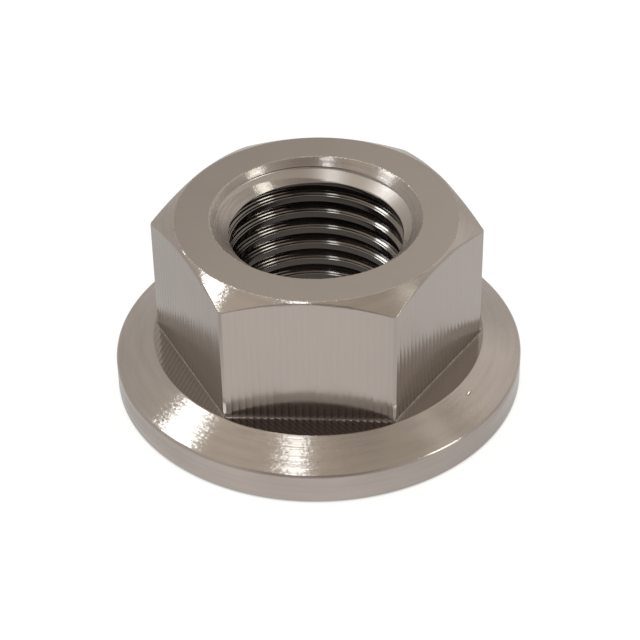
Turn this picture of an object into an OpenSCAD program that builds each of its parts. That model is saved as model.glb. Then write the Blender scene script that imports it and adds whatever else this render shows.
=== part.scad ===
// Hex flange nut for an M12 x 1.25 thread.
// Made as the real one is: a blank is turned from round bar, with its flange cone, rim and top
// chamfer, then six flats are side-milled into it down to one level floor, then it is drilled,
// countersunk and tapped. The axis is Z, and the bearing face lies at Z = 0.

/* [Hexagon] */
// Width across the flats, mm
across_flats = 18; // [17:0.1:19]
// Overall height, mm
nut_height = 12; // [10:0.5:16]
// Diameter of the turned blank, which cuts the six corners a little short, mm
blank_d = 20.65; // [19.6:0.05:21.2]
// Diameter of the flat top face inside the chamfer, mm
top_face_d = 17.6; // [16.4:0.1:18.6]
// Slope of the top chamfer from the horizontal, degrees
chamfer_angle = 31; // [15:1:40]

/* [Flange] */
// Outer diameter of the flange, mm
flange_d = 26; // [24.5:0.1:30]
// Height of the flange's upright rim, mm
rim_height = 2; // [1:0.1:2.6]
// Slope of the flange's cone from the horizontal, degrees
cone_angle = 26.5; // [18:0.5:32]
// Height of the milled floor round the hexagon, mm
floor_height = 3.2; // [2.8:0.1:3.6]
// Radius that the turning tool leaves between the cone and the blank, mm
root_radius = 0.4; // [0.1:0.05:0.8]
// Corner radius of the end mill, left between a flat and the floor, mm
mill_radius = 0.05; // [0.05:0.05:0.4]
// Small break on the rim's upper and lower edges, mm
edge_break = 0.1; // [0.05:0.05:0.4]

/* [Bore] */
// Nominal thread diameter, mm
thread_d = 12; // [10:0.5:12.5]
// Thread pitch, mm
thread_pitch = 1.25; // [1:0.25:1.75]
// How much wider than the thread's basic minor diameter the tap hole is drilled, mm
drill_allowance = 0.15; // [0:0.05:0.3]
// Diameter of the upper countersink at the top face, mm
top_sink_d = 13.2; // [12.6:0.1:14.5]
// Diameter of the lower countersink at the bearing face, mm
base_sink_d = 13; // [12.6:0.1:14.5]
// Angle between each countersink's wall and the axis, degrees
sink_angle = 45; // [30:5:60]

/* [Hidden] */
$fn = 192;

nut_color = [0.66, 0.63, 0.60];
flats = 6;
flat_step = 360 / flats;
first_flat = -90;
// how far a cut runs past the surface that it opens through
over = 1;

blank_r = blank_d / 2;
flange_r = flange_d / 2;
top_face_r = top_face_d / 2;
// share of the pitch by which a 60 degree thread's basic minor diameter is under its nominal one
minor_ratio = 5 / 8 * sqrt(3);
minor_r = (thread_d - minor_ratio * thread_pitch + drill_allowance) / 2;

// height at which the cone, run on inwards, would pass a given radius
function cone_z(r) = rim_height + (flange_r - r) * tan(cone_angle);
chamfer_z = nut_height - (blank_r - top_face_r) * tan(chamfer_angle);

// the root arc touches the blank's wall and the cone
root_x = blank_r + root_radius;
root_z = cone_z(root_x) + root_radius / cos(cone_angle);
root_foot_x = root_x - root_radius * sin(cone_angle);
root_foot_z = root_z - root_radius * cos(cone_angle);

// half section of the turned blank, before its root arc
module blank_section() {
    polygon([
        [0, 0],
        [flange_r - edge_break, 0],
        [flange_r, edge_break],
        [flange_r, rim_height - edge_break],
        [flange_r - edge_break, cone_z(flange_r - edge_break)],
        [blank_r, cone_z(blank_r)],
        [blank_r, chamfer_z],
        [top_face_r, nut_height],
        [0, nut_height]
    ]);
}

// the metal that the tool's nose leaves in the corner between the cone and the wall
module root_section() {
    difference() {
        polygon([
            [blank_r, root_z],
            [blank_r, cone_z(blank_r)],
            [root_foot_x, root_foot_z],
            [root_x, root_z]
        ]);
        translate([root_x, root_z])
            circle(r = root_radius);
    }
}

// the turned blank, solid
module turned_blank() {
    rotate_extrude() {
        blank_section();
        root_section();
    }
}

// outline that the end mill sweeps beside a flat: its corner is rounded
module mill_outline() {
    translate([mill_radius, 0])
        square([flange_r, nut_height]);
    translate([0, mill_radius])
        square([flange_r, nut_height]);
    translate([mill_radius, mill_radius])
        circle(r = mill_radius);
}

// one pass of the end mill, along the flat that faces +X
module mill_pass() {
    translate([across_flats / 2, 0, floor_height])
        rotate([90, 0, 0])
            linear_extrude(height = 2 * flange_d, center = true)
                mill_outline();
}

// a countersink with its mouth on the plane Z = 0 and its wall narrowing upwards
module sink(mouth_d) {
    depth = (mouth_d / 2 - minor_r) / tan(sink_angle);
    lead = over * tan(sink_angle);
    translate([0, 0, -over])
        cylinder(h = over + depth, r1 = mouth_d / 2 + lead, r2 = minor_r);
}

// tap hole between the two countersinks, open at both ends
module bore() {
    translate([0, 0, -over])
        cylinder(h = nut_height + 2 * over, r = minor_r);
    sink(base_sink_d);
    translate([0, 0, nut_height])
        mirror([0, 0, 1])
            sink(top_sink_d);
}

module hex_flange_nut() {
    color(nut_color)
        difference() {
            turned_blank();
            for (i = [0 : flats - 1])
                rotate([0, 0, first_flat + i * flat_step])
                    mill_pass();
            bore();
        }
}

hex_flange_nut();
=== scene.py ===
"""Looks of the hex flange nut: its true thread, milled flats and turned faces, with the stage."""

import math

import bmesh
import bpy
import numpy as np
from bpy.props import FloatProperty, FloatVectorProperty, PointerProperty
from mathutils import Matrix, Vector


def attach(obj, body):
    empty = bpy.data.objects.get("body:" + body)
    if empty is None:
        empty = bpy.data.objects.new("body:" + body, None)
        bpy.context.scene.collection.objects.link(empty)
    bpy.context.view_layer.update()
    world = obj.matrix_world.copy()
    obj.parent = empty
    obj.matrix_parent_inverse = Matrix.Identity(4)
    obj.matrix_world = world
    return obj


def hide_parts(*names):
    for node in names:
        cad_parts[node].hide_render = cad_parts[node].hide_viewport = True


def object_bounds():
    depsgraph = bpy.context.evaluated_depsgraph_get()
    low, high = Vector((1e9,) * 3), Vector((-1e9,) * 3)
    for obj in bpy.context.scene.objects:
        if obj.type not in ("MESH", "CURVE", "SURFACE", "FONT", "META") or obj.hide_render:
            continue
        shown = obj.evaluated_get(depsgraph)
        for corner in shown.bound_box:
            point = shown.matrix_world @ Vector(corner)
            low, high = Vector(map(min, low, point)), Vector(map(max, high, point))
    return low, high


bl_info = {
    "name": "Hex flange nut",
    "version": (1, 0, 0),
    "blender": (4, 5, 0),
    "location": "View3D > Sidebar > Flange Nut",
    "description": "Builds a hex flange nut with a true thread, and a plain stage for it",
    "category": "Object",
}

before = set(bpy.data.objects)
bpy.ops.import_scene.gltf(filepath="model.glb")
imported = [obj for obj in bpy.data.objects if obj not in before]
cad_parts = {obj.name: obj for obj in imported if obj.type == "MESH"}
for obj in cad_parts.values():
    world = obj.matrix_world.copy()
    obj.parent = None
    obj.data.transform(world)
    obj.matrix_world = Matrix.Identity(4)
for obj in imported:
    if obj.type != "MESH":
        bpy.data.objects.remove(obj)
CAD_LOW, CAD_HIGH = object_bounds()

NODE = "hex_flange_nut"
BODY = "root"
MM = 0.001
TINY = 1e-9
FLATS = 6
FLAT_STEP = 360 / FLATS
FIRST_FLAT = -90.0

# places in the list of the nut's materials
TURNED, FACED, MILLED_FLAT, MILLED_FOOT, MILLED_FLOOR, TAPPED, SUNK, STRIP, LIP, EDGE = range(10)


class NutSizes(bpy.types.PropertyGroup):
    """Sizes of the nut, as a maker's drawing would give them."""

    across_flats: FloatProperty(
        name="Across flats",
        description="Width of the hexagon across its flats",
        default=18.0 * MM, unit="LENGTH",
    )
    height: FloatProperty(
        name="Height",
        description="Overall height of the nut",
        default=CAD_HIGH.z - CAD_LOW.z, unit="LENGTH",
    )
    blank_d: FloatProperty(
        name="Blank diameter",
        description="Turned diameter that cuts the six corners a little short",
        default=20.65 * MM, unit="LENGTH",
    )
    top_face_d: FloatProperty(
        name="Top face diameter",
        description="Diameter of the flat top face inside its chamfer",
        default=17.6 * MM, unit="LENGTH",
    )
    chamfer_angle: FloatProperty(
        name="Chamfer angle",
        description="Slope of the top chamfer from the horizontal",
        default=math.radians(31), subtype="ANGLE",
    )
    flange_d: FloatProperty(
        name="Flange diameter",
        description="Outer diameter of the flange",
        default=CAD_HIGH.x - CAD_LOW.x, unit="LENGTH",
    )
    rim_height: FloatProperty(
        name="Rim height",
        description="Height of the flange's upright rim",
        default=2.0 * MM, unit="LENGTH",
    )
    cone_angle: FloatProperty(
        name="Cone angle",
        description="Slope of the flange's cone from the horizontal",
        default=math.radians(26.5), subtype="ANGLE",
    )
    floor_height: FloatProperty(
        name="Floor height",
        description="Height of the milled floor round the hexagon",
        default=3.2 * MM, unit="LENGTH",
    )
    root_radius: FloatProperty(
        name="Root radius",
        description="Radius left by the turning tool at the foot of each corner",
        default=0.4 * MM, unit="LENGTH",
    )
    mill_radius: FloatProperty(
        name="Mill radius",
        description="Radius left by the end mill at the foot of each flat",
        default=0.05 * MM, unit="LENGTH",
    )
    rim_break: FloatProperty(
        name="Rim edge break",
        description="Small break on the rim's upper and lower edges",
        default=0.1 * MM, unit="LENGTH",
    )
    edge_round: FloatProperty(
        name="Edge rounding",
        description="How far deburring has softened the other edges",
        default=0.05 * MM, unit="LENGTH",
    )


class ThreadSizes(bpy.types.PropertyGroup):
    """Sizes of the bore and its thread."""

    diameter: FloatProperty(
        name="Thread diameter",
        description="Nominal diameter of the thread",
        default=12.0 * MM, unit="LENGTH",
    )
    pitch: FloatProperty(
        name="Pitch",
        description="Distance from one turn of the thread to the next",
        default=1.25 * MM, unit="LENGTH",
    )
    drill_allowance: FloatProperty(
        name="Drill allowance",
        description="How much wider than the thread's basic minor diameter the tap hole is drilled",
        default=0.15 * MM, unit="LENGTH",
    )
    first_oversize: FloatProperty(
        name="First groove's oversize",
        description="How much further out than nominal the first groove's flanks are cut",
        default=0.2 * MM, unit="LENGTH",
    )
    mouth_round: FloatProperty(
        name="Mouth rounding",
        description="Rounding of the corner between each countersink and the tap hole",
        default=0.12 * MM, unit="LENGTH",
    )
    root_depth: FloatProperty(
        name="Root depth",
        description="Depth of the sharp root beyond the flanks' nominal end",
        default=0.1 * MM, unit="LENGTH",
    )
    start_angle: FloatProperty(
        name="Start angle",
        description="Plan angle at which a groove lies at the start depth",
        default=math.radians(84.0), subtype="ANGLE",
    )
    start_depth: FloatProperty(
        name="Start depth",
        description="Depth of the uppermost groove below the top face at the start angle",
        default=0.63 * MM, unit="LENGTH",
    )
    top_sink_d: FloatProperty(
        name="Upper countersink",
        description="Diameter of the countersink at the top face",
        default=13.2 * MM, unit="LENGTH",
    )
    base_sink_d: FloatProperty(
        name="Lower countersink",
        description="Diameter of the countersink at the bearing face",
        default=13.0 * MM, unit="LENGTH",
    )
    sink_angle: FloatProperty(
        name="Countersink angle",
        description="Angle between a countersink's wall and the axis",
        default=math.radians(45), subtype="ANGLE",
    )


class Finish(bpy.types.PropertyGroup):
    """Colours and finishes of the metal."""

    metal: FloatVectorProperty(
        name="Metal",
        description="Colour of the bare metal",
        default=(0.42, 0.37, 0.335), min=0.0, max=1.0, subtype="COLOR", size=3,
    )
    turned_roughness: FloatProperty(
        name="Turned roughness",
        description="Roughness of the cone, rim and chamfer",
        default=0.22, min=0.0, max=1.0, subtype="FACTOR",
    )
    sunk_roughness: FloatProperty(
        name="Countersink roughness",
        description="Roughness of the countersinks",
        default=0.295, min=0.0, max=1.0, subtype="FACTOR",
    )
    strip_roughness: FloatProperty(
        name="Strip roughness",
        description="Roughness of the turned strips that are left between the flats",
        default=0.12, min=0.0, max=1.0, subtype="FACTOR",
    )
    lip_roughness: FloatProperty(
        name="First flank roughness",
        description="Roughness of the first groove's lower flank",
        default=0.32, min=0.0, max=1.0, subtype="FACTOR",
    )
    faced_roughness: FloatProperty(
        name="Top face roughness",
        description="Roughness of the top face",
        default=0.42, min=0.0, max=1.0, subtype="FACTOR",
    )
    flat_roughness: FloatProperty(
        name="Flat roughness",
        description="Roughness of the milled flats",
        default=0.17, min=0.0, max=1.0, subtype="FACTOR",
    )
    floor_roughness: FloatProperty(
        name="Milled floor roughness",
        description="Roughness of the milled floor round the hexagon",
        default=0.13, min=0.0, max=1.0, subtype="FACTOR",
    )
    thread_roughness: FloatProperty(
        name="Thread roughness",
        description="Roughness of the tapped thread",
        default=0.16, min=0.0, max=1.0, subtype="FACTOR",
    )
    flute_mark: FloatProperty(
        name="Flute mark spacing",
        description="Distance between the upright marks that the mill's teeth left on the flats",
        default=0.43 * MM, unit="LENGTH",
    )
    flute_tilt: FloatProperty(
        name="Flute mark tilt",
        description="How far the metal turns from one side of such a mark to the other",
        default=0.16, min=0.0, max=1.0,
    )
    # painted shade: a factor that darkens the thread's colour for the shade inside the bore
    thread_shade: FloatProperty(
        name="Thread tone",
        description="How dark the tapped metal is beside the turned metal",
        default=0.55, min=0.0, max=1.0, subtype="FACTOR",
    )


class StageLook(bpy.types.PropertyGroup):
    """The floor, the room and the lamps."""

    room: FloatVectorProperty(
        name="Room",
        description="Brightness of the tent's walls",
        default=(0.68, 0.66, 0.63), min=0.0, max=1.0, subtype="COLOR", size=3,
    )
    window: FloatProperty(
        name="Window",
        description="Factor on the walls in the middle of the window's glow",
        default=1.45, min=0.0, soft_max=5.0,
    )
    dim_end: FloatProperty(
        name="Dim end",
        description="Factor on the walls at the room's dimmer end",
        default=1.06, min=0.0, soft_max=2.0,
    )
    overhead: FloatProperty(
        name="Overhead",
        description="Factor on the ceiling's dim part, above and to the right",
        default=0.74, min=0.0, soft_max=2.0,
    )
    ceiling: FloatVectorProperty(
        name="Ceiling",
        description="Brightness overhead",
        default=(0.86, 0.80, 0.70), min=0.0, max=1.0, subtype="COLOR", size=3,
    )
    opening: FloatVectorProperty(
        name="Opening",
        description="Brightness of the tent's opening, where the camera looks in",
        default=(0.305, 0.256, 0.256), min=0.0, max=1.0, subtype="COLOR", size=3,
    )
    lamp_strength: FloatProperty(
        name="Lamp strength",
        description="Factor on all the lamps",
        default=1.0, min=0.0, soft_max=5.0,
    )


class FlangeNut(bpy.types.PropertyGroup):
    """Everything that a user may change."""

    sizes: PointerProperty(type=NutSizes)
    thread: PointerProperty(type=ThreadSizes)
    finish: PointerProperty(type=Finish)
    stage: PointerProperty(type=StageLook)


# The nut's form is a closed section at each plan angle, and neighbouring sections are joined.


def smooth_min(a, b, width):
    """The smaller of two radii, with the step between them rounded over a small width."""
    share = np.clip(0.5 + 0.5 * (b - a) / width, 0, 1)
    return b * (1 - share) + a * share - width * share * (1 - share)


def column_angles(sizes):
    """Plan angles of the sections in degrees, close together at the six corners."""
    step, fine_step = 1.2, 0.3
    # half the angle of the turned strip that is left at each corner
    strip = FLAT_STEP / 2 - math.degrees(math.acos(sizes.across_flats / sizes.blank_d))
    edge = 0.12
    near = [0, fine_step, 2 * fine_step, strip - edge, strip, strip + edge, strip + 3 * edge]
    clear = near[-1] + fine_step
    corners = [FIRST_FLAT + FLAT_STEP * (k + 0.5) for k in range(FLATS)]
    even = []
    for angle in np.arange(0, 360, step):
        gap = min(abs((angle - c + 180) % 360 - 180) for c in corners)
        if gap > clear:
            even.append(angle)
    extra = [(c + side * n) % 360 for c in corners for n in near for side in (-1, 1)]
    extra += [(RIM_NICK.angle + d) % 360 for d in RIM_NICK.across]
    extra += [(CONE_TICK.angle + d) % 360 for d in CONE_TICK.across]
    angles = np.unique(np.round(np.array(even + extra), 5))
    return np.append(angles, angles[0] + 360)


class Mark:
    """A small dent: its plan angle, half its angle across, its middle and half its length along
    the section, its depth, and how far it slants."""

    def __init__(self, angle, half_angle, middle, half_length, depth, slant):
        self.angle = angle
        self.half_angle = half_angle
        self.across = np.linspace(-1.5, 1.5, 7) * half_angle
        self.middle = middle
        self.half_length = half_length
        self.depth = depth
        self.slant = slant

    def along(self):
        """Places along the section where the mark needs points, in millimetres."""
        return self.middle + np.linspace(-1.3, 1.3, 7) * self.half_length

    def press(self, angles, place):
        """Depth of the dent at each plan angle, for one place along the section."""
        off = (angles - self.angle + 180) % 360 - 180
        run = (place - self.middle) / self.half_length
        across = (off - self.slant * run) / self.half_angle
        return self.depth * np.exp(-(across**2) * 2) * np.clip(1 - run**2, 0, 1)


# the photograph's nick on the rim, and its short tick on the cone
RIM_NICK = Mark(angle=-80.0, half_angle=0.3, middle=0.85, half_length=0.5, depth=0.06, slant=0.05)
CONE_TICK = Mark(angle=-31.25, half_angle=1.1, middle=11.24, half_length=0.09, depth=0.1, slant=0.3)


def outer_points(sizes, angles):
    """Corner points of the outside, from the top face's edge down to the bearing face. Each is
    (radius, height, rounding, finish of the stretch after it), in millimetres, and may also name
    the finish of its rounding."""
    rel = (angles - FIRST_FLAT + FLAT_STEP / 2) % FLAT_STEP - FLAT_STEP / 2
    slant = np.cos(np.radians(rel))
    half = sizes.across_flats / MM / 2
    blank_r = sizes.blank_d / MM / 2
    flange_r = sizes.flange_d / MM / 2
    face_r = sizes.top_face_d / MM / 2
    top = sizes.height / MM
    rim = sizes.rim_height / MM
    ground = sizes.floor_height / MM
    mill = sizes.mill_radius / MM
    root = sizes.root_radius / MM
    brk = sizes.rim_break / MM
    soft = sizes.edge_round / MM
    slope = math.tan(sizes.cone_angle)
    chamfer = math.tan(sizes.chamfer_angle)
    same = np.ones_like(angles)
    corner_blend, wear, arc_steps = 0.012, 0.1, 4

    def cone_z(r):
        return rim + (flange_r - r) * slope

    milled_r = half / slant
    wall_r = smooth_min(milled_r, blank_r * same, corner_blend)
    in_strip = milled_r > blank_r
    wall_kind = np.where(in_strip, STRIP, MILLED_FLAT)

    root_x = blank_r + root
    root_z = cone_z(root_x) + root / math.cos(sizes.cone_angle)
    root_foot = root_x - root * math.sin(sizes.cone_angle)

    # deburring has softened the top of each flat most in its middle
    wear_and_shade = np.where(in_strip, soft, soft + wear * np.cos(np.radians(rel * 3)))
    rows = [(face_r * same, top * same, soft, TURNED, EDGE)]
    rows.append((wall_r, top - (wall_r - face_r) * chamfer, wear_and_shade, wall_kind, TURNED))
    # the turned pad that stays at the foot of each corner
    for k in range(arc_steps + 1):
        r = np.where(in_strip, blank_r + (milled_r - blank_r) * k / arc_steps, wall_r)
        arc = root_z - np.sqrt(np.clip(root**2 - (root_x - r) ** 2, 0, None))
        z = np.where(r < root_foot, arc, cone_z(r))
        z = np.where(in_strip, z, root_z)
        r = np.where(in_strip & (k > 0), r, wall_r)
        last = k == arc_steps
        rows.append((r, z, soft / 2 if last else 0, MILLED_FLAT if last else wall_kind))
    # the narrow facet that the end mill's corner leaves
    foot_r = np.where(in_strip, milled_r, wall_r)
    rows.append((foot_r, (ground + mill) * same, 0, MILLED_FOOT))
    rows.append((foot_r + mill / slant, ground * same, 0, MILLED_FLOOR))
    edge_r = flange_r - (ground - rim) / slope
    rows.append((edge_r * same, ground * same, soft, TURNED))
    for r in CONE_TICK.along():
        lift = -CONE_TICK.press(angles, r)
        rows.append((r * same, cone_z(r) + lift, 0, TURNED))
    rows.append(((flange_r - brk) * same, cone_z(flange_r - brk) * same, soft, TURNED))
    rows.append((flange_r * same, (rim - brk) * same, soft, TURNED))
    for z in RIM_NICK.along()[::-1]:
        rows.append((flange_r - RIM_NICK.press(angles, z), z * same, 0, TURNED))
    rows.append((flange_r * same, brk * same, soft, TURNED))
    rows.append(((flange_r - brk) * same, 0 * same, soft, TURNED))
    return rows


def drill_radius(thread):
    """Radius of the tap hole in millimetres."""
    return (thread.diameter - thread.pitch * math.sqrt(3) * 5 / 8 + thread.drill_allowance) / MM / 2


def groove_points(thread, middle):
    """One groove of the thread: depth and radius of each of its corners, in millimetres.
    'middle' holds the groove's depth at each plan angle; near the mouth the tap cuts it wider."""
    major = thread.diameter / MM / 2
    minor = drill_radius(thread)
    flank = math.tan(math.radians(30))
    root = thread.root_depth / MM
    half_root = thread.pitch / MM / 16
    fade_end, fade = 1.5, 0.7
    share = np.clip((fade_end - middle) / fade, 0, 1)
    wide = thread.first_oversize / MM * share
    root = root + (half_root / flank - root) * share
    half_mouth = half_root + (major + wide - minor) * flank
    deep = half_root - root * flank
    return [
        (middle - half_mouth, minor + 0 * middle),
        (middle - half_root, major + wide),
        (middle - deep, major + wide + root),
        (middle + deep, major + wide + root),
        (middle + half_root, major + wide),
        (middle + half_mouth, minor + 0 * middle),
    ]


def clip_to_cone(depth, radius, cone_r, lead, per, shy):
    """Moves the points of each groove that the countersink has cut away onto its wall.
    depth and radius are (columns, points); cone_r is the wall's radius at depth 0, and it narrows
    inwards by lead for each millimetre of depth. Each groove has 'per' points, and one that is all
    cut away goes to the depth 'shy'."""
    wall = cone_r - lead * depth
    seen = radius > wall
    new_d, new_r = depth.copy(), radius.copy()
    total = depth.shape[1]
    for start in range(0, total, per):
        block = slice(start, start + per)
        shown = seen[:, block]
        any_shown = shown.any(1)
        first = np.where(any_shown, shown.argmax(1), 0)
        last = np.where(any_shown, per - 1 - shown[:, ::-1].argmax(1), 0)
        for k in range(per):
            i = start + k
            hidden = ~seen[:, i]
            for side, edge in ((-1, first), (1, last)):
                pick = hidden & any_shown & ((k < first) if side < 0 else (k > last))
                if not pick.any():
                    continue
                rows = np.where(pick)[0]
                a = start + edge[rows]
                b = np.clip(a + side, 0, total - 1)
                da, ra = depth[rows, a], radius[rows, a]
                db, rb = depth[rows, b], radius[rows, b]
                ga = ra - (cone_r - lead * da)
                gb = rb - (cone_r - lead * db)
                share = ga / np.where(np.abs(ga - gb) < TINY, TINY, ga - gb)
                share = np.clip(share, 0, 1)
                new_d[rows, i] = da + (db - da) * share
                new_r[rows, i] = ra + (rb - ra) * share
            gone = hidden & ~any_shown
            new_d[gone, i] = shy
            new_r[gone, i] = cone_r - lead * shy
    return new_d, new_r


def bore_points(sizes, thread, angles):
    """Corner points of the bore, from the lower mouth up to the top one, like outer_points."""
    top = sizes.height / MM
    pitch = thread.pitch / MM
    lead = math.tan(thread.sink_angle)
    top_r = thread.top_sink_d / MM / 2
    base_r = thread.base_sink_d / MM / 2
    minor = drill_radius(thread)
    # the thread's points keep this far from the two faces
    shy = 0.12
    soft = sizes.edge_round / MM
    crest_soft = 0.02
    # past the countersink's corner, a crest's point moves in from the crest's edge by up to
    # crest_inset, and the rounding fades out over the length 'fade'
    crest_inset, inset_rate, fade = 0.2, 3, 0.3
    same = np.ones_like(angles)
    start = thread.start_depth / MM + pitch * (math.degrees(thread.start_angle) - angles) / 360
    grooves = [groove_points(thread, start + n * pitch) for n in range(-1, int(top / pitch) + 4)]
    per = len(grooves[0])
    depth = np.stack([point[0] for groove in grooves for point in groove], 1)
    radius = np.stack([point[1] for groove in grooves for point in groove], 1)
    # each crest has one point, which is the countersink's corner where that lies on the crest
    corners, crest_rounds = [], []
    for n in range(len(grooves) - 1):
        low, high = depth[:, n * per + per - 1], depth[:, (n + 1) * per]
        at_top = (low + high) / 2 < top / 2
        corner = np.where(at_top, (top_r - minor) / lead, top - (base_r - minor) / lead)
        past = np.where(at_top, low - corner, corner - high)
        clear = np.clip(inset_rate * past, 0, crest_inset)
        place = np.where(at_top, np.maximum(corner, low + clear), np.minimum(corner, high - clear))
        place = np.clip(np.clip(place, low, high), shy, top - shy)
        near = np.where(at_top & (past > 0), np.clip(1 - past / fade, 0, 1), 0)
        crest_rounds.append(crest_soft + (thread.mouth_round / MM - crest_soft) * near)
        wall = np.maximum(top_r - lead * place, base_r - lead * (top - place))
        corners.append((np.maximum(wall, minor), top - place))
    depth, radius = clip_to_cone(depth, radius, top_r, lead, per, shy)
    up, radius = clip_to_cone((top - depth)[:, ::-1], radius[:, ::-1], base_r, lead, per, shy)
    # up runs from the lower mouth to the upper one
    rows = [(base_r * same, 0 * same, soft, TAPPED)]
    rows.append(((base_r - lead * shy) * same, shy * same, 0, TAPPED))
    for i in range(up.shape[1]):
        groove = len(grooves) - 1 - i // per
        soft_here = crest_soft if i % per == per - 1 else 0
        if i % per == 0:
            soft_here = crest_rounds[groove] if groove < len(crest_rounds) else crest_soft
        rows.append((radius[:, i], up[:, i], soft_here, TAPPED))
        if i % per == per - 1 and corners:
            rows.append((*corners.pop(), thread.mouth_round / MM, TAPPED))
    rows.append(((top_r - lead * shy) * same, (top - shy) * same, 0, TAPPED))
    rows.append((top_r * same, top * same, soft, FACED, EDGE))
    return rows


def rounded(rows):
    """Rounds the closed section's corners. Returns points (columns, points, 2) and finishes."""
    # the most of a neighbouring stretch that a rounding may take
    most = 0.4
    r = np.stack([row[0] for row in rows], 1)
    z = np.stack([row[1] for row in rows], 1)
    p = np.stack([r, z], 2)
    back, ahead = np.roll(p, 1, 1) - p, np.roll(p, -1, 1) - p
    back_len = np.linalg.norm(back, axis=2, keepdims=True)
    ahead_len = np.linalg.norm(ahead, axis=2, keepdims=True)
    back = back / np.maximum(back_len, TINY)
    ahead = ahead / np.maximum(ahead_len, TINY)
    points, kinds = [], []
    for i, row in enumerate(rows):
        kind = np.broadcast_to(np.asarray(row[3]), r.shape[:1])
        if not np.any(row[2]):
            points.append(p[:, i])
            kinds.append(kind)
            continue
        reach = np.broadcast_to(row[2], r.shape[:1])[:, None]
        reach = np.minimum(reach, most * np.minimum(back_len[:, i], ahead_len[:, i]))
        a = p[:, i] + back[:, i] * reach
        b = p[:, i] + ahead[:, i] * reach
        middle = 0.25 * a + 0.5 * p[:, i] + 0.25 * b
        points += [a, middle, b]
        edge = np.full_like(kind, row[4]) if len(row) > 4 else kind
        kinds += [edge, edge, kind]
    return np.stack(points, 1), np.stack(kinds, 1)


def nut_mesh(settings):
    """The whole nut as one closed mesh, with a finish for each face."""
    weld = 2e-8
    angles = column_angles(settings.sizes)
    rows = outer_points(settings.sizes, angles)
    rows += bore_points(settings.sizes, settings.thread, angles)
    points, kinds = rounded(rows)
    columns, count = points.shape[:2]
    turn = np.radians(angles)[:, None]
    co = np.stack(
        [points[:, :, 0] * np.cos(turn), points[:, :, 0] * np.sin(turn), points[:, :, 1]], 2
    )
    j, i = np.meshgrid(np.arange(columns - 1), np.arange(count), indexing="ij")
    here, above = j * count + i, j * count + (i + 1) % count
    nxt, nxt_above = here + count, above + count
    quads = np.stack([here, above, nxt_above, nxt], 2).reshape(-1, 4)
    finish = kinds[:-1].reshape(-1)

    mesh = bpy.data.meshes.new("flange_nut")
    mesh.from_pydata((co.reshape(-1, 3) * MM).tolist(), [], quads.tolist())
    mesh.polygons.foreach_set("material_index", finish.astype(np.int32))
    work = bmesh.new()
    work.from_mesh(mesh)
    bmesh.ops.remove_doubles(work, verts=work.verts, dist=weld)
    bmesh.ops.recalc_face_normals(work, faces=work.faces)
    sort_bore(work, settings)
    work.to_mesh(mesh)
    work.free()
    mesh.polygons.foreach_set("use_smooth", np.ones(len(mesh.polygons), bool))
    lean_normals(mesh)
    return mesh


def sort_bore(work, settings):
    """Gives the bore's faces on a countersink, and the first groove's lower flank, their finish."""
    thread = settings.thread
    lead = math.tan(thread.sink_angle)
    slack = 0.006 * MM
    minor = drill_radius(thread) * MM
    # the first groove's middle lies above this depth, and a lower flank this many pitches below it
    first_end = 1.15 * MM
    flank_place = 0.16
    for face in work.faces:
        if face.material_index != TAPPED:
            continue
        mid = face.calc_center_median()
        r = math.hypot(mid.x, mid.y)
        drop = settings.sizes.height - mid.z
        top_wall = thread.top_sink_d / 2 - lead * drop
        base_wall = thread.base_sink_d / 2 - lead * mid.z
        near_foot = abs(top_wall - minor) < 1.2 * thread.mouth_round
        on_foot = near_foot and 0.1 < face.normal.z < 0.8 and r < minor + thread.mouth_round
        if abs(r - top_wall) < slack or abs(r - base_wall) < slack or on_foot:
            face.material_index = SUNK
        # the lower flank of the first groove, which the countersink's cutter has cleaned
        turns = (math.degrees(thread.start_angle) - math.degrees(math.atan2(mid.y, mid.x))) / 360
        start = thread.start_depth + thread.pitch * turns
        number = round((drop - start) / thread.pitch - flank_place)
        first = start + number * thread.pitch < first_end
        if first and r > top_wall + slack and face.normal.z > 0.5:
            face.material_index = LIP


def lean_normals(mesh):
    """Normals that follow the large faces, so that only the narrow roundings look round. The narrow
    facet at the foot of each flat keeps its own."""
    count = len(mesh.polygons)
    normal = np.zeros(count * 3, np.float32)
    area = np.zeros(count, np.float32)
    total = np.zeros(count, np.int32)
    kind = np.zeros(count, np.int32)
    mesh.polygons.foreach_get("normal", normal)
    mesh.polygons.foreach_get("area", area)
    mesh.polygons.foreach_get("loop_total", total)
    mesh.polygons.foreach_get("material_index", kind)
    corner = np.zeros(len(mesh.loops), np.int32)
    mesh.loops.foreach_get("vertex_index", corner)
    face = np.repeat(np.arange(count), total)
    normal = normal.reshape(-1, 3)
    weighted = normal * area[:, None]
    lean = np.zeros((len(mesh.vertices), 3))
    np.add.at(lean, corner, weighted[face])
    lean /= np.maximum(np.linalg.norm(lean, axis=1, keepdims=True), 1e-20)
    at_corner = lean[corner]
    own = kind[face] == MILLED_FOOT
    at_corner[own] = normal[face[own]]
    mesh.normals_split_custom_set(at_corner.tolist())


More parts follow.
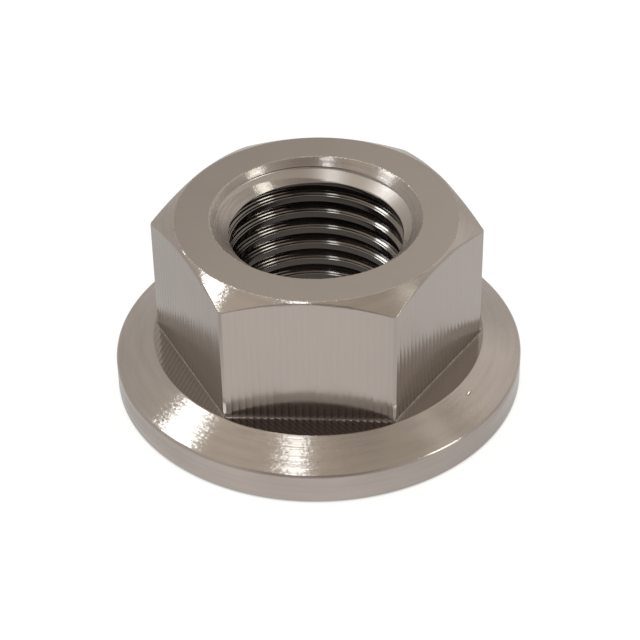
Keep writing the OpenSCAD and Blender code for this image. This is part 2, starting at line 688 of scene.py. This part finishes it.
class Nodes:
    """A small helper for laying out a material's nodes."""

    def __init__(self, tree):
        self.tree = tree
        tree.nodes.clear()

    def add(self, kind, **values):
        """A new node, with its settings."""
        node = self.tree.nodes.new(kind)
        for name, value in values.items():
            setattr(node, name, value)
        return node

    def link(self, source, target):
        self.tree.links.new(source, target)

    def put(self, socket, value):
        """Links another node's output to a socket, or sets the socket's own value."""
        if isinstance(value, bpy.types.NodeSocket):
            self.link(value, socket)
        else:
            socket.default_value = value

    def math(self, operation, a, b=0.0, c=0.0):
        node = self.add("ShaderNodeMath", operation=operation)
        for socket, value in zip(node.inputs, (a, b, c)):
            self.put(socket, value)
        return node.outputs[0]

    def vector(self, operation, a, b=None, scale=None):
        node = self.add("ShaderNodeVectorMath", operation=operation)
        self.put(node.inputs[0], a)
        if b is not None:
            self.put(node.inputs[1], b)
        if scale is not None:
            self.put(node.inputs["Scale"], scale)
        return node.outputs["Value"] if operation in ("DOT_PRODUCT", "LENGTH") else node.outputs[0]

    def combine(self, x, y, z):
        node = self.add("ShaderNodeCombineXYZ")
        for socket, value in zip(node.inputs, (x, y, z)):
            self.put(socket, value)
        return node.outputs[0]

    def split(self, vector):
        node = self.add("ShaderNodeSeparateXYZ")
        self.put(node.inputs[0], vector)
        return node.outputs

    def noise(self, vector, scale, detail=2.0, roughness=0.5, colour=False):
        node = self.add("ShaderNodeTexNoise")
        self.put(node.inputs["Vector"], vector)
        self.put(node.inputs["Scale"], scale)
        self.put(node.inputs["Detail"], detail)
        self.put(node.inputs["Roughness"], roughness)
        return node.outputs["Color" if colour else "Fac"]

    def remap(self, value, low, high, new_low, new_high, smooth=False):
        """A value brought from one range to another, and held inside it."""
        node = self.add("ShaderNodeMapRange")
        if smooth:
            node.interpolation_type = "SMOOTHSTEP"
        for name, number in zip(
            ("Value", "From Min", "From Max", "To Min", "To Max"),
            (value, low, high, new_low, new_high),
        ):
            self.put(node.inputs[name], number)
        return node.outputs["Result"]

    def mix(self, share, a, b):
        """A colour that lies between two others."""
        node = self.add("ShaderNodeMix", data_type="RGBA")
        self.put(node.inputs["Factor"], share)
        colours = [s for s in node.inputs if s.type == "RGBA"]
        for socket, value in zip(colours, (a, b)):
            if not isinstance(value, bpy.types.NodeSocket) and len(value) == 3:
                value = (*value, 1.0)
            self.put(socket, value)
        return next(s for s in node.outputs if s.type == "RGBA")


def shade(colour, factor):
    """A colour made lighter or darker."""
    return tuple(min(1.0, c * factor) for c in colour)


class Metal(Nodes):
    """A bare metal material: its nodes, its shader and its coordinates in millimetres."""

    def __init__(self, name, finish, roughness, anisotropic):
        self.material = bpy.data.materials.new(name)
        self.material.use_nodes = True
        super().__init__(self.material.node_tree)
        shader = self.add("ShaderNodeBsdfPrincipled")
        out = self.add("ShaderNodeOutputMaterial")
        self.link(shader.outputs[0], out.inputs["Surface"])
        self.inputs = shader.inputs
        self.inputs["Metallic"].default_value = 1.0
        self.inputs["Anisotropic"].default_value = anisotropic
        self.inputs["Roughness"].default_value = roughness
        self.inputs["Base Color"].default_value = (*finish.metal, 1.0)
        place = self.add("ShaderNodeTexCoord").outputs["Object"]
        self.place = self.vector("SCALE", place, scale=1 / MM)

    def colour(self, tone):
        self.link(tone, self.inputs["Base Color"])

    def rough(self, roughness):
        self.link(roughness, self.inputs["Roughness"])

    def stretch(self, way):
        """Sets the direction that the anisotropic gloss follows."""
        self.link(way, self.inputs["Tangent"])

    def bend(self, normal):
        """Gives the shader a leaning normal, brought back to unit length."""
        self.link(self.vector("NORMALIZE", normal), self.inputs["Normal"])

    def normal(self):
        """The surface's own normal."""
        return self.add("ShaderNodeNewGeometry").outputs["Normal"]

    def around(self):
        """Direction round the nut's axis."""
        return self.add("ShaderNodeTangent", direction_type="RADIAL", axis="Z").outputs[0]

    def upright_lay(self):
        """Direction across the turning marks on any face of revolution."""
        return self.vector("CROSS_PRODUCT", self.normal(), self.around())

    def lean(self, normal, way, amount):
        """A normal that leans along a direction."""
        return self.vector("ADD", normal, self.vector("SCALE", way, scale=amount))

    def swing(self, noise, amount, half_range=0.2):
        """The middle range of a noise, as a swing of up to 'amount' to either side."""
        return self.remap(noise, 0.5 - half_range, 0.5 + half_range, -amount, amount)

    def share(self, noise):
        """The middle range of a noise, as a share from 0 to 1."""
        return self.remap(noise, 0.3, 0.7, 0.0, 1.0)

    def ring_place(self, around, across):
        """Coordinates that run slowly round the axis and quickly across the turning marks."""
        x, y, z = self.split(self.place)
        flat = self.combine(x, y, 0.0)
        radius = self.vector("LENGTH", flat)
        unit = self.vector("NORMALIZE", flat)
        lean = 0.37
        along = self.math("SUBTRACT", radius, self.math("MULTIPLY", z, lean))
        spread = self.vector("SCALE", unit, scale=around)
        rise = self.combine(0.0, 0.0, self.math("MULTIPLY", along, across))
        return self.vector("ADD", spread, rise)


def turned_metal(finish, name="turned_metal", roughness=None, stretch=0.92, grain=0.09):
    """Cone, rim, chamfer and countersinks: fine rings, and gloss stretched across them."""
    roughness = finish.turned_roughness if roughness is None else roughness
    n = Metal(name, finish, roughness, stretch)
    rings = n.noise(n.ring_place(1.2, 14.0), 1.0, 3.0, 0.6)
    coarse = n.noise(n.ring_place(3.0, 2.2), 1.0, 2.0, 0.5)
    cloud = n.noise(n.place, 0.35, 3.0, 0.6)
    rough = n.math("ADD", n.swing(rings, 0.05), roughness)
    n.rough(n.math("ADD", rough, n.swing(cloud, 0.03)))
    n.colour(n.mix(n.share(coarse), shade(finish.metal, 0.95), shade(finish.metal, 1.05)))
    lay = n.upright_lay()
    n.stretch(lay)
    bent = n.lean(n.normal(), lay, n.swing(rings, grain, 0.25))
    # the tool's chatter, which makes the streaks ragged and sparkling
    chatter = n.noise(n.ring_place(14.0, 9.0), 1.0, 3.0, 0.7)
    specks = n.noise(n.ring_place(60.0, 6.0), 1.0, 3.0, 0.7)
    sway = n.math("ADD", n.swing(chatter, 0.015, 0.25), n.swing(specks, 0.035, 0.25))
    n.bend(n.lean(bent, n.around(), sway))
    return n.material


def sunk_metal(finish):
    """The countersinks: as turned, but rougher."""
    return turned_metal(finish, "sunk_metal", finish.sunk_roughness, 0.98, 0.08)


def lip_metal(finish):
    """The first groove's lower flank, which the countersink's cutter has cleaned."""
    n = Metal("lip_metal", finish, finish.lip_roughness, 0.0)
    grain = n.swing(n.noise(n.place, 9.0, 3.0, 0.6), 0.03)
    n.rough(n.math("ADD", grain, finish.lip_roughness))
    # its edge is rolled a little towards the bore
    x, y, _ = n.split(n.place)
    inwards = n.combine(n.math("MULTIPLY", x, -1.0), n.math("MULTIPLY", y, -1.0), 0.0)
    n.bend(n.lean(n.normal(), n.vector("NORMALIZE", inwards), 0.19))
    return n.material


def edge_metal(finish):
    """The softened edges of the top face: small burrs that catch the light here and there."""
    n = Metal("edge_metal", finish, finish.faced_roughness, 0.0)
    burr = n.vector("SUBTRACT", n.noise(n.place, 2.2, 3.0, 0.7, colour=True), (0.5, 0.5, 0.5))
    n.bend(n.lean(n.normal(), burr, 1.5))
    patches = n.noise(n.place, 5.0, 2.0, 0.5)
    n.rough(n.remap(patches, 0.35, 0.65, 0.15, finish.faced_roughness))
    return n.material


def strip_metal(finish):
    """The narrow turned strips between the flats: smooth, and flared out at their foot."""
    n = Metal("strip_metal", finish, finish.strip_roughness, 0.0)
    grain = n.swing(n.noise(n.place, 3.0, 2.0, 0.5), 0.03)
    foot = n.remap(n.split(n.place)[2], 4.8, 3.9, 0.0, 1.0, smooth=True)
    flare = n.math("ADD", n.math("MULTIPLY", foot, 1.6), grain)
    n.bend(n.vector("ADD", n.normal(), n.combine(0.0, 0.0, flare)))
    rough = n.remap(foot, 0.0, 1.0, finish.strip_roughness, 0.36)
    n.rough(n.math("ADD", rough, grain))
    return n.material


def faced_metal(finish):
    """The top face: an even satin, with painted shade towards the left and the back."""
    n = Metal("faced_metal", finish, finish.faced_roughness, 0.3)
    grain = n.swing(n.noise(n.place, 9.0, 3.0, 0.6), 0.03)
    n.rough(n.math("ADD", grain, finish.faced_roughness))
    # painted shade: the colour darkens towards the left and the back, standing in for the dimmer
    # light there
    x, y, _ = n.split(n.place)
    wear_and_shade = n.math("SUBTRACT", x, n.math("MULTIPLY", y, 0.5))
    wear_and_shade = n.remap(wear_and_shade, -12.0, 12.0, 0.05, 0.95)
    wear_and_shade = n.math("ADD", wear_and_shade, n.swing(n.noise(n.place, 0.3, 3.0, 0.6), 0.08))
    n.colour(n.mix(wear_and_shade, shade(finish.metal, 0.81), shade(finish.metal, 1.05)))
    n.stretch(n.upright_lay())
    return n.material


def flat_metal(finish):
    """The milled flats: upright marks that each tooth of the mill left."""
    n = Metal("milled_flat_metal", finish, finish.flat_roughness, 0.3)
    normal = n.normal()
    along = n.vector("NORMALIZE", n.vector("CROSS_PRODUCT", (0.0, 0.0, 1.0), normal))
    # place along the flat from its middle, and height
    u, z = n.vector("DOT_PRODUCT", n.place, along), n.split(n.place)[2]
    half_flat = 5.2
    cell = n.math("DIVIDE", u, finish.flute_mark / MM)
    phase = n.math("FRACT", cell)
    random = n.add("ShaderNodeTexWhiteNoise", noise_dimensions="1D")
    n.link(n.math("FLOOR", cell), random.inputs["W"])
    turn, rise, _ = n.split(n.vector("SUBTRACT", random.outputs["Color"], (0.5, 0.5, 0.5)))
    scallop = n.math("MULTIPLY", n.math("SUBTRACT", 0.5, phase), finish.flute_tilt)
    scallop = n.math("MULTIPLY", scallop, n.remap(u, -half_flat, half_flat, 1.0, 0.4))
    scallop = n.math("MULTIPLY", scallop, n.remap(z, 5.0, 9.0, 1.0, 0.5, smooth=True))
    side = n.math("ADD", scallop, n.math("MULTIPLY", turn, 0.01))
    lift = n.math("MULTIPLY", rise, 0.01)
    upright = n.combine(n.math("MULTIPLY", u, 9.0), n.math("MULTIPLY", z, 0.35), 0.0)
    fine = n.noise(upright, 1.0, 3.0, 0.6)
    bent = n.lean(normal, along, n.math("ADD", side, n.swing(fine, 0.006)))
    n.bend(n.vector("ADD", bent, n.combine(0.0, 0.0, lift)))
    cloud = n.swing(n.noise(n.place, 0.5, 3.0, 0.6), 0.04)
    n.rough(n.math("ADD", cloud, finish.flat_roughness))
    tone = n.mix(n.share(fine), shade(finish.metal, 0.985), shade(finish.metal, 1.015))
    # the marks are cut deeper towards the foot, and each carries painted shade along its left side,
    # strongest towards the foot
    depth = n.remap(z, 3.7, 4.7, 1.0, 0.03, smooth=True)
    fade = n.remap(u, -half_flat, half_flat, 0.7, 0.4)
    mark_shade = n.math("POWER", n.math("SUBTRACT", 1.0, phase), 3.0)
    mark_shade = n.math("MULTIPLY", n.math("MULTIPLY", mark_shade, depth), fade)
    n.colour(n.mix(mark_shade, tone, (0.0, 0.0, 0.0)))
    n.stretch(along)
    return n.material


def foot_metal(finish):
    """The narrow corner at the foot of each flat, darkened in patches: painted shade in the corner.
    """
    n = Metal("milled_foot_metal", finish, finish.flat_roughness, 0.0)
    # painted shade: the corner's colour is darkened to between half and most of the metal's
    crease_shade = n.remap(n.noise(n.place, 2.5, 3.0, 0.6), 0.35, 0.65, 0.0, 1.0)
    n.colour(n.mix(crease_shade, shade(finish.metal, 0.5), shade(finish.metal, 0.85)))
    return n.material


def floor_metal(finish):
    """The milled floor: beside each flat, the cut's marks run aslant to it."""
    n = Metal("milled_floor_metal", finish, finish.floor_roughness, 0.3)
    x, y, _ = n.split(n.place)
    step = math.radians(FLAT_STEP)
    turn = n.math("SUBTRACT", n.math("ARCTAN2", y, x), math.radians(FIRST_FLAT))
    sector = n.math("ROUND", n.math("DIVIDE", turn, step))
    turned = n.add("ShaderNodeVectorRotate", rotation_type="Z_AXIS")
    n.link(n.place, turned.inputs["Vector"])
    n.link(n.math("MULTIPLY", sector, -step), turned.inputs["Angle"])
    u, v, _ = n.split(turned.outputs[0])
    spacing = 0.4
    wobble = n.noise(n.place, 1.5, 2.0, 0.5)
    cell = n.math("DIVIDE", n.math("ADD", u, v), spacing)
    phase = n.math("FRACT", n.math("ADD", cell, n.math("MULTIPLY", wobble, 0.3)))
    side = n.math("MULTIPLY", n.math("SUBTRACT", 0.5, phase), 0.03)
    n.bend(n.vector("ADD", n.normal(), n.combine(side, side, 0.0)))
    # the front flat's cut was the coarsest; each cut mark carries painted shade along one side,
    # most beside the front flat
    front = n.math("COMPARE", sector, 0.0, 0.5)
    depth = n.remap(front, 0.0, 1.0, 0.25, 0.6)
    mark_shade = n.math("MULTIPLY", n.math("POWER", n.math("SUBTRACT", 1.0, phase), 2.0), depth)
    n.colour(n.mix(mark_shade, shade(finish.metal, 0.82), shade(finish.metal, 0.17)))
    return n.material


def tapped_metal(finish, crest):
    """The thread: marks that run with it. 'crest' is the radius of its crests in millimetres."""
    n = Metal("tapped_metal", finish, finish.thread_roughness, 0.9)
    rings = n.noise(n.ring_place(2.0, 16.0), 1.0, 3.0, 0.6)
    n.rough(n.math("ADD", n.swing(rings, 0.06), finish.thread_roughness))
    # painted shade: the thread's colour is darkened for the shade inside the bore
    light = shade(finish.metal, finish.thread_shade)
    n.colour(n.mix(n.share(rings), shade(light, 0.85), light))
    lay = n.upright_lay()
    n.stretch(lay)
    # the tap's chips have left the flanks in steps, deepest at the left, and the crests lean down
    normal = n.normal()
    x, y, _ = n.split(n.place)
    depth = n.math("SUBTRACT", n.vector("LENGTH", n.combine(x, y, 0.0)), crest)
    step, shallow, deep = 0.19, 0.09, 0.34
    steps = n.math("COSINE", n.math("MULTIPLY", depth, 2 * math.pi / step))
    flank_wave = n.remap(x, -1.7, -2.8, shallow, deep, smooth=True)
    wave = n.remap(n.split(normal)[2], 0.3, 0.7, shallow, flank_wave, smooth=True)
    tilt = n.math("ADD", n.math("MULTIPLY", steps, wave), n.swing(rings, 0.05, 0.25))
    n.bend(n.lean(normal, lay, tilt))
    return n.material


class BuildNut(bpy.types.Operator):
    """Build the nut with its true thread and its metal finishes"""

    bl_idname = "flange_nut.build_nut"
    bl_label = "Build nut"
    bl_options = {"REGISTER", "UNDO"}

    def execute(self, context):
        settings = context.scene.flange_nut
        mesh = nut_mesh(settings)
        if len(mesh.polygons) == 0:
            raise RuntimeError("the nut's mesh came out empty")
        nut = bpy.data.objects.new("flange_nut", mesh)
        context.scene.collection.objects.link(nut)
        finish = settings.finish
        made = {
            TURNED: turned_metal(finish),
            FACED: faced_metal(finish),
            MILLED_FLAT: flat_metal(finish),
            MILLED_FOOT: foot_metal(finish),
            MILLED_FLOOR: floor_metal(finish),
            TAPPED: tapped_metal(finish, drill_radius(settings.thread)),
            SUNK: sunk_metal(finish),
            STRIP: strip_metal(finish),
            LIP: lip_metal(finish),
            EDGE: edge_metal(finish),
        }
        for kind in sorted(made):
            mesh.materials.append(made[kind])
        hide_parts(NODE)
        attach(nut, BODY)
        return {"FINISHED"}


# the camera, from the photograph's own perspective, in metres
CAMERA_PLACE = (0.0073492, -0.1045519, 0.0847926)
CAMERA_RIGHT = (0.9982025, 0.0583174, -0.0138162)
CAMERA_UP = (-0.0247467, 0.6110326, 0.7912185)
CAMERA_AHEAD = (-0.0545840, 0.7894544, -0.6113774)
FOCAL_PIXELS = 2069.98
FRAME_PIXELS = 640
SENSOR = 36.0

# round lamps: plan angle, height angle and spread in degrees, brightness and colour
LAMPS = (
    ("left_lamp", 167.5, 50.0, 13.0, 9.5, (0.84, 0.94, 1.0)),
    ("right_lamp", -15.5, 34.0, 18.0, 6.5, (0.94, 1.0, 0.95)),
)
LAMP_DISTANCE = 0.6
# the ceiling's long lamp: its middle, width and length in metres, its turn in degrees, brightness
# and colour
CEILING_LAMP = ((-0.077, -0.215, 0.6), (0.07, 0.31), 2.0, 4.8, (0.84, 0.94, 1.0))


def direction(plan, height):
    """Unit vector towards a plan angle and a height angle, in degrees."""
    a, e = math.radians(plan), math.radians(height)
    return Vector((math.cos(a) * math.cos(e), math.sin(a) * math.cos(e), math.sin(e)))


def make_camera(scene):
    """The photograph's camera, without blur."""
    data = bpy.data.cameras.new("camera")
    data.sensor_width = SENSOR
    data.lens = FOCAL_PIXELS * SENSOR / FRAME_PIXELS
    data.clip_start = 0.005
    data.clip_end = 20.0
    camera = bpy.data.objects.new("camera", data)
    back = -Vector(CAMERA_AHEAD)
    turn = Matrix((CAMERA_RIGHT, CAMERA_UP, back)).transposed()
    camera.matrix_world = Matrix.Translation(CAMERA_PLACE) @ turn.to_4x4()
    scene.collection.objects.link(camera)
    scene.camera = camera


def floor_glow(n, mirrored):
    """Strength of the floor's own light. The metal's reflections see it a little dimmer, most of
    all at the left, and it is dark below the nut: painted shade and painted shadow in the floor's
    glow."""
    plain_glow, front_glow, left_glow, right_glow, bore_glow = 0.86, 0.78, 0.52, 0.645, 0.3
    nut_edge, clear_edge = 0.0128, 0.0131
    place = n.add("ShaderNodeTexCoord").outputs["Object"]
    across = n.split(place)[0]
    left = n.remap(across, -0.007, -0.018, front_glow, left_glow, smooth=True)
    right = n.remap(across, 0.002, 0.0095, front_glow, right_glow, smooth=True)
    drop = n.math("SUBTRACT", n.math("MINIMUM", left, right), plain_glow)
    strength = n.math("ADD", plain_glow, n.math("MULTIPLY", mirrored, drop))
    away = n.vector("LENGTH", place)
    outside = n.remap(away, nut_edge, clear_edge, bore_glow, 1.0, smooth=True)
    return n.math("MULTIPLY", strength, outside)


def make_floor(scene):
    """A white floor that keeps the nut's soft shadow, and that light from below passes."""
    half, sink = 3.0, 1e-5
    mesh = bpy.data.meshes.new("floor")
    corners = [(x * half, y * half, -sink) for x, y in ((-1, -1), (1, -1), (1, 1), (-1, 1))]
    mesh.from_pydata(corners, [], [(0, 1, 2, 3)])
    floor = bpy.data.objects.new("floor", mesh)
    scene.collection.objects.link(floor)
    material = bpy.data.materials.new("white_floor")
    material.use_nodes = True
    n = Nodes(material.node_tree)
    path = n.add("ShaderNodeLightPath").outputs
    seen = n.math("MAXIMUM", path["Is Camera Ray"], path["Is Glossy Ray"])
    seen = n.math("MAXIMUM", seen, path["Is Transmission Ray"])
    plain = n.add("ShaderNodeBsdfDiffuse")
    plain.inputs["Color"].default_value = (0.8, 0.8, 0.8, 1.0)
    shaded = n.add("ShaderNodeBsdfDiffuse")
    shaded.inputs["Color"].default_value = (0.22, 0.22, 0.22, 1.0)
    glow = n.add("ShaderNodeEmission")
    n.link(floor_glow(n, path["Is Glossy Ray"]), glow.inputs["Strength"])
    both = n.add("ShaderNodeAddShader")
    n.link(shaded.outputs[0], both.inputs[0])
    n.link(glow.outputs[0], both.inputs[1])
    choose = n.add("ShaderNodeMixShader")
    n.link(seen, choose.inputs[0])
    n.link(plain.outputs[0], choose.inputs[1])
    n.link(both.outputs[0], choose.inputs[2])
    clear = n.add("ShaderNodeBsdfTransparent")
    below = n.add("ShaderNodeMixShader")
    n.link(n.add("ShaderNodeNewGeometry").outputs["Backfacing"], below.inputs[0])
    n.link(choose.outputs[0], below.inputs[1])
    n.link(clear.outputs[0], below.inputs[2])
    out = n.add("ShaderNodeOutputMaterial")
    n.link(below.outputs[0], out.inputs["Surface"])
    mesh.materials.append(material)


def room_patch(n, way, middle, wide, narrow, outside, inside):
    """A factor for a soft round patch of the room: 'outside' further than the angle 'wide' from its
    middle, and 'inside' nearer than the angle 'narrow'."""
    facing = n.vector("DOT_PRODUCT", way, tuple(direction(*middle)))
    start, full = (math.cos(math.radians(angle)) for angle in (wide, narrow))
    return n.remap(facing, start, full, outside, inside, smooth=True)


def make_room(scene, look):
    """The room: pale walls, a lighter ceiling and a dim opening on the camera's side."""
    world = bpy.data.worlds.new("room")
    world.use_nodes = True
    n = Nodes(world.node_tree)
    way = n.add("ShaderNodeTexCoord").outputs["Generated"]
    height = n.split(way)[2]
    rise = n.remap(height, 0.55, 0.95, 0.0, 1.0, smooth=True)
    walls = n.mix(rise, tuple(look.room), tuple(look.ceiling))
    low = n.remap(height, 0.3, 0.5, 0.0, 1.0, smooth=True)
    opening = n.math("MULTIPLY", room_patch(n, way, (-86.0, 38.0), 42, 12, 0.0, 1.0), low)
    # the window's glow, the room's dimmer end and the dim part overhead
    glow = room_patch(n, way, (52.0, 35.0), 27, 0, 1.0, look.window)
    dim = room_patch(n, way, (146.0, 38.0), 22, 0, 1.0, look.dim_end)
    gloom = room_patch(n, way, (0.0, 64.0), 30, 8, 1.0, look.overhead)
    walls = n.vector("SCALE", walls, scale=n.math("MULTIPLY", n.math("MULTIPLY", glow, dim), gloom))
    colour = n.mix(opening, walls, tuple(look.opening))
    background = n.add("ShaderNodeBackground")
    n.link(colour, background.inputs["Color"])
    out = n.add("ShaderNodeOutputWorld")
    n.link(background.outputs[0], out.inputs["Surface"])
    scene.world = world


def add_lamp(scene, name, data, bright, colour, area):
    """Puts an area lamp of a given brightness in the scene."""
    data.energy = scene.flange_nut.stage.lamp_strength * bright * math.pi * area
    data.color = colour
    lamp = bpy.data.objects.new(name, data)
    scene.collection.objects.link(lamp)
    return lamp


def make_lamps(scene):
    """The two round lamps at the sides, and the long one overhead."""
    for name, plan, height, spread, bright, colour in LAMPS:
        data = bpy.data.lights.new(name, "AREA")
        data.shape = "DISK"
        data.size = 2 * LAMP_DISTANCE * math.tan(math.radians(spread / 2))
        lamp = add_lamp(scene, name, data, bright, colour, math.pi * (data.size / 2) ** 2)
        away = direction(plan, height)
        lamp.location = away * LAMP_DISTANCE
        lamp.rotation_mode = "QUATERNION"
        lamp.rotation_quaternion = away.to_track_quat("Z", "Y")
    middle, (width, length), turn, bright, colour = CEILING_LAMP
    data = bpy.data.lights.new("ceiling_lamp", "AREA")
    data.shape = "RECTANGLE"
    data.size, data.size_y = width, length
    lamp = add_lamp(scene, "ceiling_lamp", data, bright, colour, width * length)
    lamp.location = middle
    lamp.rotation_euler.z = math.radians(turn)


class BuildStage(bpy.types.Operator):
    """Make the camera, the white floor, the room and its lamps"""

    bl_idname = "flange_nut.build_stage"
    bl_label = "Build stage"
    bl_options = {"REGISTER", "UNDO"}

    def execute(self, context):
        scene = context.scene
        scene.view_settings.view_transform = "Standard"
        make_camera(scene)
        make_floor(scene)
        make_room(scene, scene.flange_nut.stage)
        make_lamps(scene)
        return {"FINISHED"}


class FlangeNutPanel(bpy.types.Panel):
    """Sizes, finishes and stage of the flange nut"""

    bl_idname = "VIEW3D_PT_flange_nut"
    bl_label = "Flange Nut"
    bl_space_type = "VIEW_3D"
    bl_region_type = "UI"
    bl_category = "Flange Nut"

    def draw(self, context):
        settings = context.scene.flange_nut
        for title, group in (
            ("Sizes", settings.sizes),
            ("Thread", settings.thread),
            ("Finish", settings.finish),
            ("Stage", settings.stage),
        ):
            box = self.layout.box()
            box.label(text=title)
            for name in group.__annotations__:
                box.prop(group, name)
        self.layout.operator(BuildNut.bl_idname)
        self.layout.operator(BuildStage.bl_idname)


CLASSES = (
    NutSizes,
    ThreadSizes,
    Finish,
    StageLook,
    FlangeNut,
    BuildNut,
    BuildStage,
    FlangeNutPanel,
)


def register():
    for cls in CLASSES:
        bpy.utils.register_class(cls)
    bpy.types.Scene.flange_nut = PointerProperty(type=FlangeNut)


def unregister():
    del bpy.types.Scene.flange_nut
    for cls in reversed(CLASSES):
        bpy.utils.unregister_class(cls)


def main():
    register()
    bpy.ops.flange_nut.build_stage()
    bpy.ops.flange_nut.build_nut()


if __name__ == "__main__":
    main()
